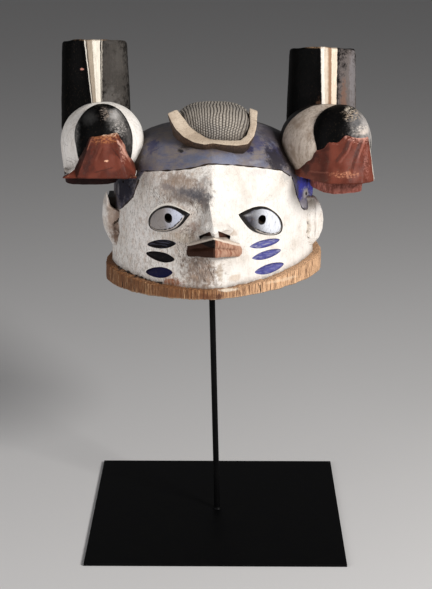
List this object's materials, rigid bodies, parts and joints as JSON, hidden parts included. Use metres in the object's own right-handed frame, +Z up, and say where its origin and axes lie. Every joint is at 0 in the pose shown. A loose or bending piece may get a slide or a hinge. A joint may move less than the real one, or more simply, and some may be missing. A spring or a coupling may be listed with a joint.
{
  "type": "carved wooden helmet mask on a display stand",
  "caption": "Hollow carved and painted wooden helmet mask with a raised hair mound and hooded side posts, held up by a steel rod on a square plate.",
  "frame": {"origin": "centre of the base plate's underside", "axes": "+Z up, the mask's face looks along -Y, +X is the viewer's right"},
  "size_m": [0.3028, 0.254, 0.4911],
  "materials": {
    "painted_wood": "matt, worn paint on wood",
    "black_steel": "satin"
  },
  "bodies": {
    "root": {"mask": "painted_wood", "support_rod": "black_steel", "base_plate": "black_steel"}
  },
  "joints": []
}
